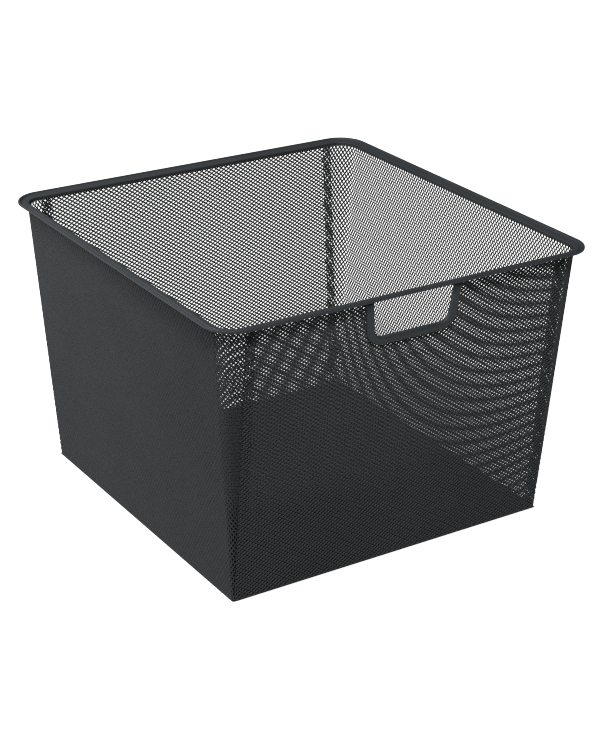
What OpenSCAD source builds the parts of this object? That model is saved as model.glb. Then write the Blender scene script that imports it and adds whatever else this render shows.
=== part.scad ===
// Wire mesh locker basket: a tapered box of expanded steel mesh, hung by the flange of its rim frame.
// Millimetres, +Z up, the origin at the middle of the underside. The front wall with the handle faces -Y.

/* [Overall] */
// Width over the rim, left to right
rim_w = 427; // [340:1:520]
// Depth over the rim, front to back
rim_d = 438; // [350:1:560]
// Height from the underside to the top of the rim's lip
basket_h = 292; // [150:1:400]
// Width of the base
base_w = 367; // [300:1:400]
// Depth of the base
base_d = 373; // [310:1:410]

/* [Mesh] */
// Thickness of the flattened mesh sheet
mesh_t = 1.2; // [0.8:0.1:2]
// Long way of a diamond of the net
net_long = 62; // [50:1:90]
// Short way of a diamond of the net
net_short = 43; // [36:1:70]
// Width of a strand of the net
strand_w = 6; // [3:0.5:9]
// Solid border round each net
net_border = 8; // [4:0.5:14]
// Corner radius of the mesh body at the base
corner_r_base = 2.5; // [2.2:0.1:8]
// Corner radius of the mesh body under the rim
corner_r_top = 25; // [12:0.5:30]
// Width of the strip where a flap lies behind the front or back wall
flap_lap = 11; // [6:0.5:20]

/* [Rim frame] */
// Outer corner radius of the rim, seen from above
rim_r = 30.5; // [22:0.5:45]
// From the rim's outer edge to the outer face of its inner leg
flange_w = 10.5; // [8:0.5:16]
// Thickness of the flange
flange_t = 1.2; // [0.8:0.1:1.6]
// How far the flange falls from the lip to the shoulder
flange_fall = 1.0; // [0.4:0.1:1.6]
// Width of the raised outer lip
lip_w = 2.2; // [1.6:0.1:3.4]
// How far the lip stands above the flange
lip_rise = 1.2; // [0.8:0.1:2]
// Thickness of the inner leg
leg_t = 1.0; // [0.6:0.1:1.2]
// Drop of the leg below the flange's underside
leg_drop = 1.0; // [0.6:0.1:4]

/* [Handle] */
// Width over the outside of the handle trim at its top
handle_w = 110; // [80:1:160]
// From the rim's top to the underside of the trim, measured on the wall
handle_drop = 51.5; // [42:0.5:70]
// Width of the trim bar
trim_w = 8.8; // [7.5:0.1:12]
// Thickness of the trim bar
trim_t = 6; // [4.5:0.1:7]
// Bend radius of the trim's centre line
trim_bend_r = 14.5; // [10:0.5:20]
// Lean of the posts from upright
post_lean = 6.5; // [0:0.5:12]
// How deep the mesh sits in the slot of the trim
slot_depth = 2.5; // [1:0.1:3]

/* [Hidden] */

// Facets of a full circle
$fn = 48;
// Chords in the quarter turn of a flap
flap_steps = 10;
// Reach of a cutting block past what it cuts
past = 5;
// How far a post of the trim reaches into its bend, and how much slimmer it is there
post_seat = 1;
post_step = 0.05;

paint = [0.24, 0.26, 0.265];
mesh_paint = [0.29, 0.31, 0.315];

// Drops below the rim's top
shoulder_drop = lip_rise + flange_fall;
wall_top_drop = shoulder_drop + flange_t;
leg_bottom_drop = wall_top_drop + leg_drop;

// Levels where the walls and flaps start and stop
foot_z = mesh_t;
wall_top_z = basket_h - wall_top_drop;
leg_z = basket_h - leg_bottom_drop;

// Half sizes of the mesh body at the foot and at the leg. The flaps lie one sheet behind the front and back walls.
side_foot = base_w / 2;
front_foot = base_d / 2;
side_head = rim_w / 2 - flange_w + mesh_t;
front_head = rim_d / 2 - flange_w + mesh_t;
rise = leg_z - foot_z;
side_lean = atan((side_head - side_foot) / rise);
front_lean = atan((front_head - front_foot) / rise);

// Half widths of the flat walls between the conical corners
front_half = base_w / 2 - corner_r_base;
side_half_foot = front_foot - mesh_t - corner_r_base;
side_half_head = front_head - mesh_t - corner_r_top;

// Slope lengths of the walls up to their top edge
front_slope = (wall_top_z - foot_z) / cos(front_lean);
side_slope = (wall_top_z - foot_z) / cos(side_lean);

// The U line of the trim, in the plane of the front wall with its origin at the foot
trim_top_s = (leg_z - foot_z) / cos(front_lean);
trim_foot_s = (basket_h - foot_z) / cos(front_lean) - handle_drop + trim_w / 2;
bend_s = trim_foot_s + trim_bend_r;
post_top_x = (handle_w - trim_w) / 2;
bend_x = post_top_x - (trim_bend_r + (trim_top_s - bend_s) * sin(post_lean)) / cos(post_lean);
post_length = (trim_top_s - bend_s) / cos(post_lean) + trim_t;
slot_offset = trim_w / 2 - slot_depth;

function lerp(a, b, z) = a + (b - a) * (z - foot_z) / rise;

// Places a wall's own plane: x across, y up the slope, z out of the wall, the origin at the foot of the outer face.
// turn 0 faces the front, -90 the left, 90 the right and 180 the back.
module on_wall(turn, foot, lean) {
  rotate([0, 0, turn])
    translate([0, -foot, foot_z])
      rotate([90 + lean, 0, 0])
        children();
}

// Diamonds of a net that fills a box from x -half_w to half_w and y low to high, with nx by ny whole cells.
module net_diamonds(half_w, low, high, nx, ny) {
  cell_x = 2 * half_w / nx;
  cell_y = (high - low) / ny;
  edge = sqrt(cell_x * cell_x + cell_y * cell_y) / 2;
  open = 1 - strand_w * edge / (cell_x * cell_y / 2);
  rx = cell_x / 2 * open;
  ry = cell_y / 2 * open;
  for (i = [0 : 2 * nx])
    for (j = [0 : 2 * ny])
      if ((i + j) % 2 == 0)
        translate([-half_w + i * cell_x / 2, low + j * cell_y / 2])
          polygon([[rx, 0], [0, ry], [-rx, 0], [0, -ry]]);
}

// The openings of a net inside a border. long_x turns the long way of the diamonds along x.
module net_holes(half_w, low, high, long_x) {
  inner_half = half_w - net_border;
  inner_low = low + net_border;
  inner_high = high - net_border;
  pitch_x = long_x ? net_long : net_short;
  pitch_y = long_x ? net_short : net_long;
  nx = max(2, round(2 * inner_half / pitch_x));
  ny = max(2, round((inner_high - inner_low) / pitch_y));
  intersection() {
    net_diamonds(inner_half, inner_low, inner_high, nx, ny);
    translate([-inner_half, inner_low])
      square([2 * inner_half, inner_high - inner_low]);
  }
}

// Outline of a wall in its own plane, running past its foot and top so that level cuts trim both ends.
module wall_outline(half_foot, half_head, slope) {
  grow = (half_head - half_foot) / slope;
  polygon([
    [-half_foot + grow * past, -past],
    [half_foot - grow * past, -past],
    [half_head + grow * past, slope + past],
    [-half_head - grow * past, slope + past]
  ]);
}

// The part of a wall between the base and the underside of the flange
module level_ends() {
  intersection() {
    children();
    translate([-rim_w, -rim_d, foot_z])
      cube([2 * rim_w, 2 * rim_d, wall_top_z - foot_z]);
  }
}

// Area inside the trim's centre line, grown outwards by offset_out and open to the top.
module handle_area(offset_out) {
  r = trim_bend_r + offset_out;
  top_s = front_slope + 2 * past;
  head_x = bend_x + (r + (top_s - bend_s) * sin(post_lean)) / cos(post_lean);
  for (side = [-1, 1])
    translate([side * bend_x, bend_s])
      circle(r);
  polygon([
    [-bend_x, bend_s - r],
    [bend_x, bend_s - r],
    [bend_x, bend_s],
    [bend_x + r * cos(post_lean), bend_s - r * sin(post_lean)],
    [head_x, top_s],
    [-head_x, top_s],
    [-bend_x - r * cos(post_lean), bend_s - r * sin(post_lean)],
    [-bend_x, bend_s]
  ]);
}

module base_panel() {
  color(mesh_paint)
    linear_extrude(mesh_t)
      difference() {
        base_outline();
        translate([0, -base_d / 2])
          net_holes(base_w / 2, 0, base_d, true);
      }
}

module base_outline() {
  square([base_w - 2 * corner_r_base, base_d], center = true);
  square([base_w, base_d - 2 * corner_r_base], center = true);
  for (sx = [-1, 1], sy = [-1, 1])
    translate([sx * (base_w / 2 - corner_r_base), sy * (base_d / 2 - corner_r_base)])
      circle(corner_r_base);
}

// Front or back wall as a bare sheet, in its own plane
module end_sheet() {
  translate([0, 0, -mesh_t])
    linear_extrude(mesh_t)
      children();
}

module end_outline() {
  wall_outline(front_half, front_half, front_slope);
}

module end_net() {
  net_holes(front_half, 0, front_slope, true);
}

module front_panel() {
  color(mesh_paint)
    level_ends()
      on_wall(0, front_foot, front_lean)
        end_sheet()
          difference() {
            end_outline();
            handle_area(slot_offset);
            difference() {
              end_net();
              handle_area(trim_w / 2 + net_border);
            }
          }
}

module back_panel() {
  color(mesh_paint)
    level_ends()
      on_wall(180, front_foot, front_lean)
        end_sheet()
          difference() {
            end_outline();
            end_net();
          }
}

module side_panel(turn) {
  color(mesh_paint)
    level_ends()
      on_wall(turn, side_foot, side_lean)
        end_sheet()
          difference() {
            wall_outline(side_half_foot, side_half_head, side_slope);
            net_holes(min(side_half_foot, side_half_head), 0, side_slope, false);
          }
}

// Outer line of the back right flap at level z: the lap behind the back wall, then the round corner.
function flap_line(z, inward) =
  let (
    y_out = lerp(front_foot, front_head, z) - mesh_t,
    x_out = lerp(side_foot, side_head, z),
    r = lerp(corner_r_base, corner_r_top, z),
    cx = x_out - r,
    cy = y_out - r
  )
  concat(
    [[front_half - flap_lap, y_out - inward, z]],
    [
      for (i = [0 : flap_steps])
        let (a = 90 - 90 * i / flap_steps)
        [cx + (r - inward) * cos(a), cy + (r - inward) * sin(a), z]
    ]
  );

module flap(sx, sy) {
  n = flap_steps + 2;
  points = concat(
    flap_line(foot_z, 0),
    flap_line(foot_z, mesh_t),
    flap_line(leg_z, 0),
    flap_line(leg_z, mesh_t)
  );
  outer = [for (i = [0 : n - 2]) [i, i + 1, i + 1 + 2 * n, i + 2 * n]];
  inner = [for (i = [0 : n - 2]) [i + n + 1, i + n, i + 3 * n, i + 1 + 3 * n]];
  bottom = [for (i = [0 : n - 2]) [i, i + n, i + n + 1, i + 1]];
  top = [for (i = [0 : n - 2]) [i + 2 * n, i + 1 + 2 * n, i + 1 + 3 * n, i + 3 * n]];
  ends = [
    [0, 2 * n, 3 * n, n],
    [n - 1, 2 * n - 1, 4 * n - 1, 3 * n - 1]
  ];
  color(mesh_paint)
    mirror([sx < 0 ? 1 : 0, 0, 0])
      mirror([0, sy < 0 ? 1 : 0, 0])
        polyhedron(points, concat(outer, inner, bottom, top, ends));
}

// Section of the rim: x = 0 is its outer edge, y = 0 its top, and the inside lies towards -x.
module rim_section() {
  shoulder_r = flange_t;
  shoulder_x = flange_w + leg_t - shoulder_r;
  lip_drop = lip_rise + flange_t;
  translate([-lip_w / 2, -lip_w / 2])
    circle(lip_w / 2);
  translate([-lip_w, -lip_drop])
    square([lip_w, lip_drop - lip_w / 2]);
  polygon([
    [-lip_w, -lip_rise],
    [-shoulder_x, -shoulder_drop],
    [-shoulder_x, -wall_top_drop],
    [-lip_w, -lip_drop]
  ]);
  intersection() {
    translate([-shoulder_x, -wall_top_drop])
      circle(shoulder_r);
    translate([-shoulder_x - shoulder_r, -wall_top_drop])
      square([shoulder_r, shoulder_r]);
  }
  translate([-flange_w - leg_t, -leg_bottom_drop])
    square([leg_t, leg_bottom_drop - wall_top_drop]);
}

module rim_frame() {
  run_x = rim_w / 2 - rim_r;
  run_y = rim_d / 2 - rim_r;
  color(paint)
    translate([0, 0, basket_h])
      for (mx = [0, 1], my = [0, 1])
        mirror([mx, 0, 0])
          mirror([0, my, 0]) {
            translate([run_x, run_y])
              rotate_extrude(angle = 90)
                translate([rim_r, 0])
                  rim_section();
            translate([rim_w / 2, run_y])
              rotate([90, 0, 0])
                linear_extrude(run_y)
                  rim_section();
            translate([0, rim_d / 2])
              rotate([90, 0, 90])
                linear_extrude(run_x)
                  rim_section();
          }
}

// Flat oval section of the trim bar, x across the bar and y through the wall, slimmer all round by step
module trim_section(step = 0) {
  flat = trim_w - trim_t;
  square([flat, trim_t - 2 * step], center = true);
  for (side = [-1, 1])
    translate([side * flat / 2, 0])
      circle(trim_t / 2 - step);
}

module trim_bar() {
  for (m = [0, 1])
    mirror([m, 0, 0]) {
      translate([0, trim_foot_s])
        rotate([90, 0, 90])
          linear_extrude(bend_x)
            trim_section();
      translate([bend_x, bend_s]) {
        rotate([0, 0, -90])
          rotate_extrude(angle = 90 - post_lean)
            translate([trim_bend_r, 0])
              trim_section();
        rotate([0, 0, -post_lean])
          translate([trim_bend_r, -post_seat])
            rotate([-90, 0, 0])
              linear_extrude(post_length)
                trim_section(post_step);
      }
    }
}

module handle_trim() {
  color(paint)
    difference() {
      on_wall(0, front_foot, front_lean)
        translate([0, 0, -mesh_t / 2])
          trim_bar();
      on_wall(0, front_foot, front_lean)
        end_sheet()
          difference() {
            end_outline();
            handle_area(slot_offset);
          }
      translate([-rim_w / 2, -rim_d / 2, leg_z])
        cube([rim_w, rim_d / 2, basket_h]);
    }
}

base_panel();
front_panel();
back_panel();
side_panel(-90);  // left_panel
side_panel(90);  // right_panel
flap(-1, -1);  // front_left_flap
flap(1, -1);  // front_right_flap
flap(-1, 1);  // back_left_flap
flap(1, 1);  // back_right_flap
rim_frame();
handle_trim();
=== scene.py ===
"""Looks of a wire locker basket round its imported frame. Metres, +Z up, the hand cut-out faces -Y."""
import math

import bpy
import numpy as np
from mathutils import Matrix, Vector


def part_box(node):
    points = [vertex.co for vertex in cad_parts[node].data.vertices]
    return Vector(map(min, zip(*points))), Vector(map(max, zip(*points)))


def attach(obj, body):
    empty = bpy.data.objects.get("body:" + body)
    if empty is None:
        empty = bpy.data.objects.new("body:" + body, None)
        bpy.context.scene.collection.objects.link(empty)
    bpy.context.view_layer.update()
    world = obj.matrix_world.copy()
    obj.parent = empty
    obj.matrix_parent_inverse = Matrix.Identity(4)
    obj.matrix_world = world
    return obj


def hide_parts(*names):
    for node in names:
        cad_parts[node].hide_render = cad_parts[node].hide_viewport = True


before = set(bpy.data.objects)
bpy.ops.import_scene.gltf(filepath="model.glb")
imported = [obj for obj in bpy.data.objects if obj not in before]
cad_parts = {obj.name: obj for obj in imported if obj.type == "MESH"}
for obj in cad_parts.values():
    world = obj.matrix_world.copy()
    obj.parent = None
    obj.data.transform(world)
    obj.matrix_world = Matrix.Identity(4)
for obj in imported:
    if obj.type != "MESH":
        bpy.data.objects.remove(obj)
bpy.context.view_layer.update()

MM = 0.001

# What the frame gives: the box of each node that the looks are built on
rim_low, rim_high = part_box("rim_frame")
base_low, base_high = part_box("base_panel")
side_low, side_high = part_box("right_panel")
back_low, back_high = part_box("back_panel")
flap_low, flap_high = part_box("back_right_flap")

# Expanded mesh: rows of zigzag strands that meet at bonds
ROWS = 172  # rows across the base, front to back
HALF_STEPS = 118  # half diamonds across the base, left to right
STRAND_W = 1.63 * MM
STRAND_T = 0.89 * MM
STRAND_TILT = math.radians(35)
BOND_SHARE = 0.44  # how much of a strand's width two strands share at a bond
FOLD_EDGE = 0.45 * MM  # half the width of the edge along a fold
MESH_DEPTH = 0.90 * MM  # from the outer face of a sheet to the middle of its mesh

# Corners and flaps of the mesh body
CORNER_R_FOOT = 2.5 * MM
CORNER_R_HEAD = 21.2 * MM
LAP_GAP = 1.3 * MM  # a flap's mesh lies this far behind the front or back wall's
TRIM_CLEAR = 2.1 * MM  # the cut mesh ends this far outside the trim's centre line

# Rim section, as widths inwards from the outer edge and drops below the top of the lip
RIM_R = 30.5 * MM
RIM_RISE = 0.8 * MM  # the lip stands this far over the CAD rim's top
LIP_R = 1.1 * MM
LIP_DROP = 2.5 * MM
FLANGE_T = 1.2 * MM
GROOVE_U = 4.6 * MM
GROOVE_D = 2.8 * MM
FLAT_U = 6.0 * MM
FLAT_D = 1.5 * MM
SHOULDER_U = 10.3 * MM
SHOULDER_D = 2.1 * MM
LEG_OUT_U = 10.5 * MM
LEG_IN_U = 11.5 * MM
LEG_D = 6.2 * MM

# Handle trim: a U of flat oval bar in the plane of the front wall
TRIM_HALF = 55.0 * MM
TRIM_W = 8.8 * MM
TRIM_T = 6.0 * MM
TRIM_BEND_R = 14.5 * MM
TRIM_DROP = 51.5 * MM
TRIM_OUT = 0.6 * MM  # the bar's middle stands this far outside the front wall's outer face
POST_LEAN = math.radians(6.5)

# Camera, fitted to the photograph's rim, base and handle corners
CAMERA_AT = Vector((-0.97510, -1.53549, 0.94008))
CAMERA_YAW = math.radians(32.7184)
CAMERA_PITCH = math.radians(24.1136)
CAMERA_ROLL = math.radians(0.5486)
FOCAL_PX = 1905.09
PHOTO_H = 744
SENSOR_MM = 36.0
PIXEL_FILTER = 1.05  # narrower than the default, to keep the mesh crisp

# Light: how bright a white face turned to it renders
AMBIENT = 0.12
KEY = 0.52
KEY_TURN = math.radians(57.7)  # from the left, -X, to the front, -Y
KEY_HEIGHT = math.radians(54.5)
KEY_SPREAD = math.radians(10)
LEFT = 0.60
LEFT_AT = (-0.68, 0.16, 0.84)
LEFT_SIZE = 0.4
AIM_Z = 0.15  # the height that the left light is aimed at

# Floor
FLOOR_HALF = 8.0
FLOOR_Z = -0.1 * MM
FLOOR_TONE = 0.95
FLOOR_WHITE = 1.05  # of the floor in the key light, so that it renders white
UNDER_SHADE_TONE = 0.08  # painted shade: the floor's colour under the basket, dark for the basket's shadow
# A painted shadow dims the floor's white behind the basket, on top of the key light's own shadow.
SHADE_AT = (0.166, 0.036, 0)  # the middle of the floor's painted shadow beyond the basket's foot
SHADE_REACH = (0.25, 0.13, 1)  # along the key light's way and across it
SHADE_EDGE = 0.6  # the painted shadow grows up to this share of the way in from its rim
SHADE_KEEP = 0.35  # how much of the floor's own white is left there

# Paint: dark and pale clouds, the worn edge, and the roughness, gloss and bump
MESH_DARK = (0.0278, 0.0301, 0.0319)
MESH_PALE = (0.0314, 0.0338, 0.0356)
FRAME_DARK = (0.0390, 0.0448, 0.0487)
FRAME_PALE = (0.0438, 0.0501, 0.0545)
FRAME_WORN = (0.051, 0.058, 0.063)
CLOUD_SCALE = 18.0
GRAIN_SCALE = 900.0
GRAIN_LOW = 0.88
GRAIN_HIGH = 1.12
ROUGH_SPAN = 0.08  # how much rougher the pale clouds are
PEEL_DEPTH = 0.05 * MM

ROOT = "root"


def leaning(foot_half, head_half, foot_z, head_z):
    """The lean from upright of a wall's outer face."""
    return math.atan2(head_half - foot_half, head_z - foot_z)


FOOT_Z = base_high.z
SIDE_LEAN = leaning(base_high.x, side_high.x, FOOT_Z, side_high.z)
END_LEAN = leaning(base_high.y, back_high.y, FOOT_Z, back_high.z)

# Middle of the mesh at the folds round the base
FOLD_Z = MESH_DEPTH
FOLD_X = base_high.x - (FOOT_Z - FOLD_Z) * math.tan(SIDE_LEAN) - MESH_DEPTH / math.cos(SIDE_LEAN)
FOLD_Y = base_high.y - (FOOT_Z - FOLD_Z) * math.tan(END_LEAN) - MESH_DEPTH / math.cos(END_LEAN)
ROW = 2 * FOLD_Y / ROWS
STEP = 2 * FOLD_X / HALF_STEPS
LEG_Z = flap_high.z
LAP_X = flap_low.x
END_HALF = back_high.x


def strand_path(row, start, end):
    """Places along a strand, with its middle across the rows and out of the sheet at each."""
    inner = np.arange(math.ceil(start / STEP + 1e-6), math.floor(end / STEP - 1e-6) + 1) * STEP
    along = np.concatenate(([start], inner, [end]))
    whole = np.floor(along / STEP + 1e-9)
    part = along / STEP - whole
    low = (whole + row) % 2
    wave = low + (1 - 2 * low) * part
    reach = STRAND_W * (0.5 - BOND_SHARE)
    inset = reach * math.cos(STRAND_TILT)
    across = row * ROW + inset + (ROW - 2 * inset) * wave
    out = (1 - 2 * wave) * reach * math.sin(STRAND_TILT)
    return along, across, out


def strand_corners():
    """Corners of a strand's section, as offsets across the rows and out of the sheet, in turn."""
    wide = STRAND_W / 2 * np.array([math.cos(STRAND_TILT), math.sin(STRAND_TILT)])
    thick = STRAND_T / 2 * np.array([-math.sin(STRAND_TILT), math.cos(STRAND_TILT)])
    return np.array([wide - thick, wide + thick, -wide + thick, -wide - thick])


def strand(row, start, end, mitre_start=0.0, mitre_end=0.0):
    """A strand's sections, each of 4 points (along, across, out). A mitre slants an end to a fold."""
    along, across, out = strand_path(row, start, end)
    corners = strand_corners()
    points = np.empty((len(along), 4, 3))
    points[:, :, 0] = along[:, None]
    points[:, :, 1] = across[:, None] + corners[:, 0]
    points[:, :, 2] = out[:, None] + corners[:, 1]
    points[0, :, 0] += mitre_start * points[0, :, 2]
    points[-1, :, 0] += mitre_end * points[-1, :, 2]
    return points


def new_piece(name, points, faces, smooth, replaced, material):
    """A mesh object that rides on the root and stands for CAD nodes."""
    mesh = bpy.data.meshes.new(name)
    mesh.from_pydata(points, [], faces)
    mesh.polygons.foreach_set("use_smooth", np.full(len(mesh.polygons), smooth))
    piece = bpy.data.objects.new(name, mesh)
    bpy.context.scene.collection.objects.link(piece)
    mesh.materials.append(material)
    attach(piece, ROOT)
    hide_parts(*replaced)
    return piece


def mesh_piece(name, strands, place, replaced):
    """Joins strands into one object. place maps (along, across, out) to the row frame."""
    flat = np.concatenate([s.reshape(-1, 3) for s in strands])
    faces = []
    first = 0
    around = ((0, 1), (1, 2), (2, 3), (3, 0))
    for s in strands:
        count = len(s)
        rings = first + 4 * np.arange(count - 1)
        sides = [np.stack([rings + a, rings + b, rings + 4 + b, rings + 4 + a], 1) for a, b in around]
        faces.append(np.concatenate(sides))
        last = first + 4 * (count - 1)
        faces.append(first + np.array([[3, 2, 1, 0]]))
        faces.append(last + np.array([[0, 1, 2, 3]]))
        first += 4 * count
    faces = np.concatenate(faces)
    points = place(flat[:, 0], flat[:, 1], flat[:, 2])
    piece = new_piece(name, points, faces, False, replaced, MESH_PAINT)
    low = flat[:, :2].min(0)
    size = flat[:, :2].max(0) - low
    uv = (flat[:, :2] - low) / size.max() * 0.98 + 0.01
    layer = piece.data.uv_layers.new(name="OFBake")
    corner = np.empty(len(piece.data.loops), np.int32)
    piece.data.loops.foreach_get("vertex_index", corner)
    layer.uv.foreach_set("vector", uv[corner].astype(np.float32).ravel())
    return piece


def base_place(along, across, out):
    return np.stack([along, across, FOLD_Z - out], 1)


def end_place(facing):
    """The plane of the back wall, facing 1, or the front wall, facing -1."""

    def place(along, across, out):
        up = facing * across - FOLD_Y
        y = FOLD_Y + up * math.sin(END_LEAN) + out * math.cos(END_LEAN)
        z = FOLD_Z + up * math.cos(END_LEAN) - out * math.sin(END_LEAN)
        return np.stack([along, facing * y, z], 1)

    return place


def corner_at(z):
    """The round corner at a height: its arc's centre and radius, and the length to the lap's end."""
    share = (z - FOOT_Z) / (LEG_Z - FOOT_Z)
    radius = CORNER_R_FOOT + (CORNER_R_HEAD - CORNER_R_FOOT) * share - MESH_DEPTH
    wall_x = FOLD_X + (z - FOLD_Z) * math.tan(SIDE_LEAN)
    lap_y = FOLD_Y + (z - FOLD_Z) * math.tan(END_LEAN) - LAP_GAP
    centre_x = wall_x - radius
    centre_y = lap_y - radius
    return centre_x, centre_y, radius, centre_y + radius * math.pi / 2 + centre_x - LAP_X


def side_place(facing):
    """The right wall, facing 1, or the left wall, facing -1, with its flaps round both corners."""

    def place(along, across, out):
        up = along - FOLD_X
        z = FOLD_Z + up * math.cos(SIDE_LEAN)
        centre_x, centre_y, radius, _ = corner_at(z)
        past = np.abs(across) - centre_y
        turn = np.clip(past / radius, 0, math.pi / 2)
        lap = np.maximum(past - radius * math.pi / 2, 0)
        flat = past <= 0
        reach = radius + out * math.cos(SIDE_LEAN)
        x = centre_x + reach * np.cos(turn) - lap
        y = np.where(flat, np.abs(across), centre_y + reach * np.sin(turn))
        return np.stack([facing * x, np.sign(across) * y, z - out * math.sin(SIDE_LEAN)], 1)

    return place


def handle_half(up):
    """Half the width of the hand cut-out in the mesh at a height up the front wall, or 0 below it."""
    radius = TRIM_BEND_R + TRIM_CLEAR
    bend_x, bend_up, _ = trim_bend()
    if up >= bend_up - radius * math.sin(POST_LEAN):
        return bend_x + (radius + (up - bend_up) * math.sin(POST_LEAN)) / math.cos(POST_LEAN)
    drop = bend_up - up
    return bend_x + math.sqrt(radius * radius - drop * drop) if drop < radius else 0.0


def trim_bend():
    """The centre of the trim's right bend and the trim's top, up the front wall from its foot."""
    top = (LEG_Z - FOOT_Z) / math.cos(END_LEAN)
    bar = (rim_high.z - FOOT_Z) / math.cos(END_LEAN) - TRIM_DROP + TRIM_W / 2
    bend_up = bar + TRIM_BEND_R
    post_x = TRIM_HALF - TRIM_W / 2
    bend_x = post_x - (TRIM_BEND_R + (top - bend_up) * math.sin(POST_LEAN)) / math.cos(POST_LEAN)
    return bend_x, bend_up, top


def base_strands():
    half = ROWS // 2
    return [strand(row, -FOLD_X, FOLD_X, -1, 1) for row in range(-half, half)] + fold_edges()


def fold_edges():
    """Pressed edges along the four folds of the base, as straight strands."""
    found = []
    for side in (-1, 1):
        for axis, place, other in ((0, FOLD_X, FOLD_Y), (1, FOLD_Y, FOLD_X)):
            reach = other - CORNER_R_FOOT
            edge = np.empty((2, 4, 3))
            edge[:, :, axis] = side * place + FOLD_EDGE * np.array([-1, 1, 1, -1])
            edge[:, :, 1 - axis] = np.array([[-reach], [reach]])
            edge[:, :, 2] = FOLD_EDGE * np.array([-1, -1, 1, 1])
            found.append(edge)
    return found


def end_strands(facing):
    """Rows up the back or front wall. The front wall leaves out the hand cut-out."""
    head = (back_high.z - FOLD_Z) / math.cos(END_LEAN)
    rows = int(head / ROW)
    found = []
    for k in range(rows):
        row = ROWS // 2 + k if facing > 0 else -ROWS // 2 - 1 - k
        up = (k + 0.5) * ROW - (FOOT_Z - FOLD_Z) / math.cos(END_LEAN)
        gap = handle_half(up) if facing < 0 else 0.0
        if gap:
            found += [strand(row, -END_HALF, -gap), strand(row, gap, END_HALF)]
        else:
            found.append(strand(row, -END_HALF, END_HALF))
    return found


def side_strands():
    """Rows up a side wall, with those of the flaps, which start where the lap's cut edge lets them."""
    length_foot = corner_at(FOLD_Z)[3]
    length_head = corner_at(LEG_Z)[3]
    flat_half = corner_at(LEG_Z)[1]
    rows = int(length_head / ROW)
    found = []
    for row in range(-rows, rows):
        reach = abs(row + 0.5) * ROW
        share = max(0.0, (reach - length_foot) / (length_head - length_foot))
        start = share * (LEG_Z - FOLD_Z) / math.cos(SIDE_LEAN)
        top_z = side_high.z if reach < flat_half else LEG_Z
        end = (top_z - FOLD_Z) / math.cos(SIDE_LEAN)
        if end - start > STEP:
            found.append(strand(row, FOLD_X + start, FOLD_X + end, -1 if share == 0 else 0, 0))
    return found


def arc(centre, radius, start, end, count):
    """Points on an arc, angles in degrees."""
    angles = np.radians(np.linspace(start, end, count))
    return [(centre[0] + radius * math.cos(a), centre[1] + radius * math.sin(a)) for a in angles]


def rim_profile():
    """The rim's section, x the width inwards from the outer edge and y the height over the top."""
    edge_r = 0.25 * MM
    points = arc((edge_r, edge_r - LIP_DROP), edge_r, 270, 180, 4)
    points += arc((LIP_R, -LIP_R), LIP_R, 180, 15, 13)
    points += [(2.3 * MM, -1.2 * MM), (2.8 * MM, -1.75 * MM)]
    points += [(GROOVE_U - 0.3 * MM, 0.03 * MM - GROOVE_D), (GROOVE_U, -GROOVE_D)]
    points += [(GROOVE_U + 0.5 * MM, 0.15 * MM - GROOVE_D), (FLAT_U - 0.3 * MM, -FLAT_D - 0.06 * MM)]
    points += [(FLAT_U, -FLAT_D), (8 * MM, 0.02 * MM - FLAT_D)]
    points += arc((SHOULDER_U, -SHOULDER_D - FLANGE_T), FLANGE_T, 93, 0, 9)
    points += arc((LEG_IN_U - edge_r, edge_r - LEG_D), edge_r, 0, -90, 4)
    points += arc((LEG_OUT_U + edge_r, edge_r - LEG_D), edge_r, -90, -180, 4)
    points += [(LEG_OUT_U, -SHOULDER_D - FLANGE_T - 0.1 * MM)]
    points += [(LEG_OUT_U - 0.4 * MM, -SHOULDER_D - FLANGE_T)]
    points += [(FLAT_U, -FLAT_D - FLANGE_T), (GROOVE_U, -GROOVE_D - 0.9 * MM)]
    points += [(LIP_R + 0.2 * MM, -LIP_DROP + 0.1 * MM)]
    return points


def rim_stations():
    """Round the rim: a point on the outer edge and the way inwards, both in plan."""
    run_x = rim_high.x - RIM_R
    run_y = rim_high.y - RIM_R
    corner_steps = 24
    run_steps = 20
    stations = []
    for quarter in range(4):
        turn = quarter * math.pi / 2
        centre_x, centre_y = (run_x, run_y) if quarter % 2 == 0 else (run_y, run_x)
        way = np.array([math.cos(turn), math.sin(turn)])
        side = np.array([-math.sin(turn), math.cos(turn)])
        for i in range(run_steps):
            along = -centre_y + 2 * centre_y * i / run_steps
            stations.append((way * (centre_x + RIM_R) + side * along, -way))
        for i in range(corner_steps):
            a = turn + math.pi / 2 * i / corner_steps
            out = np.array([math.cos(a), math.sin(a)])
            stations.append((way * centre_x + side * centre_y + out * RIM_R, -out))
    return stations


def swept_faces(rings, size, closed):
    """Quads of a sweep of rings of points."""
    faces = []
    for i in range(rings if closed else rings - 1):
        j = (i + 1) % rings
        for k in range(size):
            m = (k + 1) % size
            faces.append((i * size + k, i * size + m, j * size + m, j * size + k))
    return faces


def rim_piece():
    profile = rim_profile()
    stations = rim_stations()
    points = []
    for edge, inwards in stations:
        for wide, high in profile:
            x, y = edge + inwards * wide
            points.append((x, y, rim_high.z + RIM_RISE + high))
    faces = swept_faces(len(stations), len(profile), True)
    return new_piece("rim_ring", points, faces, True, ["rim_frame"], FRAME_PAINT)


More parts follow.
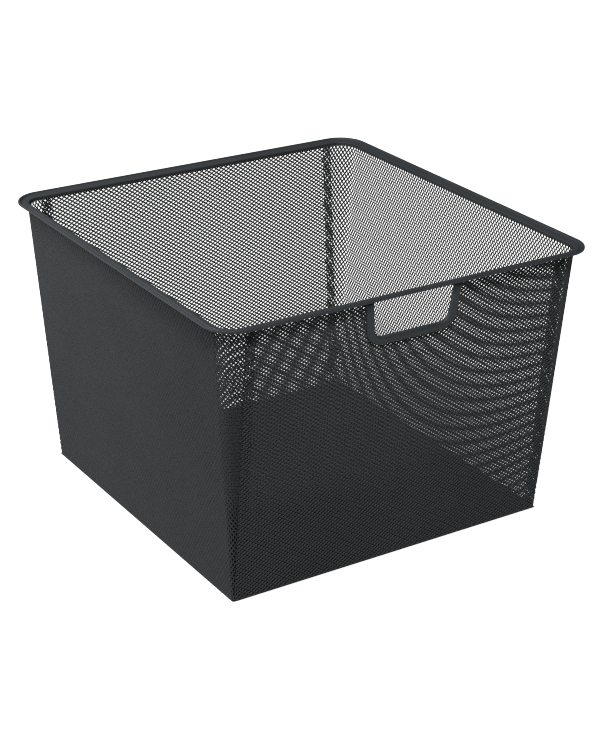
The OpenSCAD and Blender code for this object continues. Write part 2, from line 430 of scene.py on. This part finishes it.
def trim_line():
    """The trim's centre line in the front wall's plane: points with the way along the line."""
    bend_x, bend_up, top = trim_bend()
    stations = []
    post = np.array([math.sin(POST_LEAN), math.cos(POST_LEAN)])
    radial = np.array([math.cos(POST_LEAN), -math.sin(POST_LEAN)])
    foot = np.array([bend_x, bend_up]) + TRIM_BEND_R * radial
    length = (top - foot[1]) / post[1] - TRIM_W / 2 * math.tan(POST_LEAN)
    post_steps = 8
    bend_steps = 16
    bar_steps = 10
    for i in range(post_steps + 1):
        stations.append((foot + post * length * (1 - i / post_steps), -post))
    for i in range(1, bend_steps):
        a = -POST_LEAN - (math.pi / 2 - POST_LEAN) * i / bend_steps
        out = np.array([math.cos(a), math.sin(a)])
        way = np.array([math.sin(a), -math.cos(a)])
        stations.append((np.array([bend_x, bend_up]) + TRIM_BEND_R * out, way))
    for i in range(bar_steps + 1):
        place = np.array([bend_x * (1 - i / bar_steps), bend_up - TRIM_BEND_R])
        stations.append((place, np.array([-1.0, 0.0])))
    mirrored = [(p * (-1, 1), w * (1, -1)) for p, w in stations[-2::-1]]
    return stations + mirrored


def trim_piece():
    stations = trim_line()
    flat = (TRIM_W - TRIM_T) / 2
    section = arc((flat, 0), TRIM_T / 2, -90, 90, 13) + arc((-flat, 0), TRIM_T / 2, 90, 270, 13)
    points = []
    for place, way in stations:
        across = np.array([-way[1], way[0]])
        for wide, deep in section:
            x, up = place + across * wide
            out = deep + TRIM_OUT
            y = -base_high.y - up * math.sin(END_LEAN) - out * math.cos(END_LEAN)
            z = FOOT_Z + up * math.cos(END_LEAN) - out * math.sin(END_LEAN)
            points.append((x, y, z))
    size = len(section)
    faces = swept_faces(len(stations), size, False)
    last = (len(stations) - 1) * size
    faces.append(tuple(range(size - 1, -1, -1)))
    faces.append(tuple(range(last, last + size)))
    return new_piece("trim_bar", points, faces, True, ["handle_trim"], FRAME_PAINT)


def node(tree, kind, **inputs):
    """A shader node with its inputs set or linked, by name."""
    made = tree.nodes.new(kind)
    for name, value in inputs.items():
        socket = made.inputs[name.replace("_", " ")]
        if isinstance(value, bpy.types.NodeSocket):
            tree.links.new(value, socket)
        else:
            socket.default_value = value
    return made


def grey(tone):
    return tone, tone, tone, 1


def ramp(tree, factor, low, high, first, second):
    """A two-stop colour ramp of a factor."""
    made = tree.nodes.new("ShaderNodeValToRGB")
    tree.links.new(factor, made.inputs["Fac"])
    made.color_ramp.elements[0].position = low
    made.color_ramp.elements[1].position = high
    made.color_ramp.elements[0].color = first
    made.color_ramp.elements[1].color = second
    return made.outputs["Color"]


def paint(name, dark, pale, worn, rough, gloss, bump):
    """Satin graphite powder paint: clouds, fine grain, worn paler edges and an orange-peel bump."""
    material = bpy.data.materials.new(name)
    material.use_nodes = True
    tree = material.node_tree
    shader = tree.nodes["Principled BSDF"]
    place = node(tree, "ShaderNodeTexCoord").outputs["Object"]
    clouds = node(tree, "ShaderNodeTexNoise", Vector=place, Scale=CLOUD_SCALE, Detail=3.0)
    grain = node(tree, "ShaderNodeTexNoise", Vector=place, Scale=GRAIN_SCALE, Detail=2.0)
    colour = ramp(tree, clouds.outputs["Fac"], 0.35, 0.65, (*dark, 1), (*pale, 1))
    speck = ramp(tree, grain.outputs["Fac"], 0.3, 0.7, grey(GRAIN_LOW), grey(GRAIN_HIGH))
    mixed = tree.nodes.new("ShaderNodeMix")
    mixed.data_type = "RGBA"
    mixed.blend_type = "MULTIPLY"
    mixed.inputs[0].default_value = 1.0
    tree.links.new(colour, mixed.inputs[6])
    tree.links.new(speck, mixed.inputs[7])
    last = mixed.outputs[2]
    if worn:
        geometry = tree.nodes.new("ShaderNodeNewGeometry")
        edge = ramp(tree, geometry.outputs["Pointiness"], 0.52, 0.60, grey(0), grey(1))
        rubbed = tree.nodes.new("ShaderNodeMix")
        rubbed.data_type = "RGBA"
        tree.links.new(edge, rubbed.inputs[0])
        tree.links.new(last, rubbed.inputs[6])
        rubbed.inputs[7].default_value = (*worn, 1)
        last = rubbed.outputs[2]
    tree.links.new(last, shader.inputs["Base Color"])
    satin = ramp(tree, clouds.outputs["Fac"], 0.3, 0.7, grey(rough), grey(rough + ROUGH_SPAN))
    tree.links.new(satin, shader.inputs["Roughness"])
    shader.inputs["Specular IOR Level"].default_value = gloss
    if bump:
        height = grain.outputs["Fac"]
        peel = node(tree, "ShaderNodeBump", Height=height, Strength=bump, Distance=PEEL_DEPTH)
        tree.links.new(peel.outputs["Normal"], shader.inputs["Normal"])
    return material


def camera():
    forward = Vector((
        math.sin(CAMERA_YAW) * math.cos(CAMERA_PITCH),
        math.cos(CAMERA_YAW) * math.cos(CAMERA_PITCH),
        -math.sin(CAMERA_PITCH),
    ))
    level = Vector((math.cos(CAMERA_YAW), -math.sin(CAMERA_YAW), 0))
    upright = level.cross(forward)
    right = math.cos(CAMERA_ROLL) * level + math.sin(CAMERA_ROLL) * upright
    up = -math.sin(CAMERA_ROLL) * level + math.cos(CAMERA_ROLL) * upright
    data = bpy.data.cameras.new("camera")
    data.sensor_width = SENSOR_MM
    data.lens = FOCAL_PX * SENSOR_MM / PHOTO_H
    data.clip_start = 0.05
    data.clip_end = 50
    made = bpy.data.objects.new("camera", data)
    turned = Matrix((right, up, -forward)).transposed().to_4x4()
    made.matrix_world = Matrix.Translation(CAMERA_AT) @ turned
    bpy.context.scene.collection.objects.link(made)
    bpy.context.scene.camera = made


def hang_light(name, data, place, away):
    """Places a lamp so that it shines against the way given."""
    made = bpy.data.objects.new(name, data)
    made.location = place
    made.rotation_mode = "QUATERNION"
    made.rotation_quaternion = away.to_track_quat("Z", "Y")
    bpy.context.scene.collection.objects.link(made)


def left_light():
    """A softbox to the left of the basket, aimed at it."""
    data = bpy.data.lights.new("left_light", "AREA")
    data.size = LEFT_SIZE
    away = Vector(LEFT_AT) - Vector((0, 0, AIM_Z))
    data.energy = LEFT * math.pi ** 2 * away.length_squared
    hang_light("left_light", data, LEFT_AT, away)


def key_light():
    """A sun from the camera's side, even over the whole floor."""
    data = bpy.data.lights.new("key", "SUN")
    data.energy = KEY * math.pi
    data.angle = KEY_SPREAD
    flat = math.cos(KEY_HEIGHT)
    away = Vector((-flat * math.cos(KEY_TURN), -flat * math.sin(KEY_TURN), math.sin(KEY_HEIGHT)))
    hang_light("key", data, away * 3, away)


def combined(tree, operation, *values):
    """The output of a Math node of one or two sockets or numbers."""
    made = tree.nodes.new("ShaderNodeMath")
    made.operation = operation
    for socket, value in zip(made.inputs, values):
        if isinstance(value, bpy.types.NodeSocket):
            tree.links.new(value, socket)
        else:
            socket.default_value = value
    return made.outputs[0]


def seen_straight(tree):
    """1 for what the camera sees, straight or through glass, and 0 for the light on the basket."""
    path = tree.nodes.new("ShaderNodeLightPath")
    seen = path.outputs["Is Camera Ray"]
    return combined(tree, "MAXIMUM", seen, path.outputs["Is Transmission Ray"])


def white_world():
    """White to the camera and a soft grey light to everything else."""
    world = bpy.data.worlds.new("studio")
    bpy.context.scene.world = world
    world.use_nodes = True
    tree = world.node_tree
    tree.nodes.clear()
    white = node(tree, "ShaderNodeBackground", Color=grey(1), Strength=1.0)
    soft = node(tree, "ShaderNodeBackground", Color=grey(1), Strength=AMBIENT)
    mix = tree.nodes.new("ShaderNodeMixShader")
    tree.links.new(seen_straight(tree), mix.inputs[0])
    tree.links.new(soft.outputs[0], mix.inputs[1])
    tree.links.new(white.outputs[0], mix.inputs[2])
    out = tree.nodes.new("ShaderNodeOutputWorld")
    tree.links.new(mix.outputs[0], out.inputs["Surface"])


def under_shade_mask(tree):
    """Painted shade: 0 on the floor under the basket, which is painted dark there as its shadow, and 1
    round it.
    """
    place = node(tree, "ShaderNodeTexCoord").outputs["Object"]
    split = node(tree, "ShaderNodeSeparateXYZ", Vector=place)
    past = []
    for axis, half in (("X", base_high.x), ("Y", base_high.y)):
        distance = combined(tree, "ABSOLUTE", split.outputs[axis])
        beyond = combined(tree, "SUBTRACT", distance, half - CORNER_R_FOOT)
        past.append(combined(tree, "MAXIMUM", beyond, 0.0))
    corner = node(tree, "ShaderNodeCombineXYZ", X=past[0], Y=past[1])
    reach = node(tree, "ShaderNodeVectorMath", Vector=corner.outputs[0])
    reach.operation = "LENGTH"
    start = CORNER_R_FOOT - 0.6 * MM
    reached = reach.outputs["Value"]
    edge = node(tree, "ShaderNodeMapRange", Value=reached, From_Min=start, From_Max=start + MM)
    return edge.outputs[0]


def painted_floor_shadow(tree):
    """Painted shadow: 1 on the open floor and less beyond the basket's foot, where the floor's white is
    dimmed as the basket's shadow.
    """
    place = node(tree, "ShaderNodeTexCoord").outputs["Object"]
    around = node(tree, "ShaderNodeMapping", Vector=place, Location=SHADE_AT, Scale=SHADE_REACH)
    around.inputs["Rotation"].default_value = (0, 0, KEY_TURN)
    around.vector_type = "TEXTURE"
    patch = node(tree, "ShaderNodeTexGradient", Vector=around.outputs[0])
    patch.gradient_type = "SPHERICAL"
    keep = node(tree, "ShaderNodeMapRange", Value=patch.outputs["Fac"], From_Max=SHADE_EDGE)
    keep.inputs["To Min"].default_value = 1.0
    keep.inputs["To Max"].default_value = SHADE_KEEP
    return keep.outputs[0]


def floor():
    """A floor that is white where the key light reaches it, with painted shade under the basket and a
    painted shadow beyond its foot.
    """
    signs = ((-1, -1), (1, -1), (1, 1), (-1, 1))
    corners = [(sx * FLOOR_HALF, sy * FLOOR_HALF, FLOOR_Z) for sx, sy in signs]
    mesh = bpy.data.meshes.new("floor")
    mesh.from_pydata(corners, [], [(0, 1, 2, 3)])
    made = bpy.data.objects.new("floor", mesh)
    bpy.context.scene.collection.objects.link(made)
    material = bpy.data.materials.new("floor")
    material.use_nodes = True
    tree = material.node_tree
    tree.nodes.clear()
    # painted shade under the basket: a dark colour there and no white
    clear_of_under_shade = under_shade_mask(tree)
    tone = ramp(tree, clear_of_under_shade, 0, 1, grey(UNDER_SHADE_TONE), grey(FLOOR_TONE))
    lit = node(tree, "ShaderNodeBsdfDiffuse", Color=tone)
    own_white = FLOOR_WHITE - FLOOR_TONE * (AMBIENT + KEY * math.sin(KEY_HEIGHT))
    seen = combined(tree, "MULTIPLY", seen_straight(tree), clear_of_under_shade)
    # painted shadow: the floor's white is dimmed beyond the basket's foot
    shaded = combined(tree, "MULTIPLY", seen, painted_floor_shadow(tree))
    strength = combined(tree, "MULTIPLY", shaded, own_white)
    white = node(tree, "ShaderNodeEmission", Color=grey(1), Strength=strength)
    both = tree.nodes.new("ShaderNodeAddShader")
    tree.links.new(lit.outputs[0], both.inputs[0])
    tree.links.new(white.outputs[0], both.inputs[1])
    out = tree.nodes.new("ShaderNodeOutputMaterial")
    tree.links.new(both.outputs[0], out.inputs["Surface"])
    mesh.materials.append(material)


bpy.context.scene.view_settings.view_transform = "Standard"
bpy.context.scene.cycles.use_denoising = False  # it smooths the mesh
bpy.context.scene.cycles.filter_width = PIXEL_FILTER
MESH_PAINT = paint("mesh_paint", MESH_DARK, MESH_PALE, None, rough=0.50, gloss=0.35, bump=0.0)
FRAME_PAINT = paint("frame_paint", FRAME_DARK, FRAME_PALE, FRAME_WORN, rough=0.45, gloss=0.2, bump=0.25)

camera()
white_world()
floor()
key_light()
left_light()

mesh_piece("base_mesh", base_strands(), base_place, ["base_panel"])
mesh_piece("back_mesh", end_strands(1), end_place(1), ["back_panel"])
mesh_piece("front_mesh", end_strands(-1), end_place(-1), ["front_panel"])
right_nodes = ["right_panel", "front_right_flap", "back_right_flap"]
left_nodes = ["left_panel", "front_left_flap", "back_left_flap"]
mesh_piece("right_mesh", side_strands(), side_place(1), right_nodes)
mesh_piece("left_mesh", side_strands(), side_place(-1), left_nodes)
rim_piece()
trim_piece()
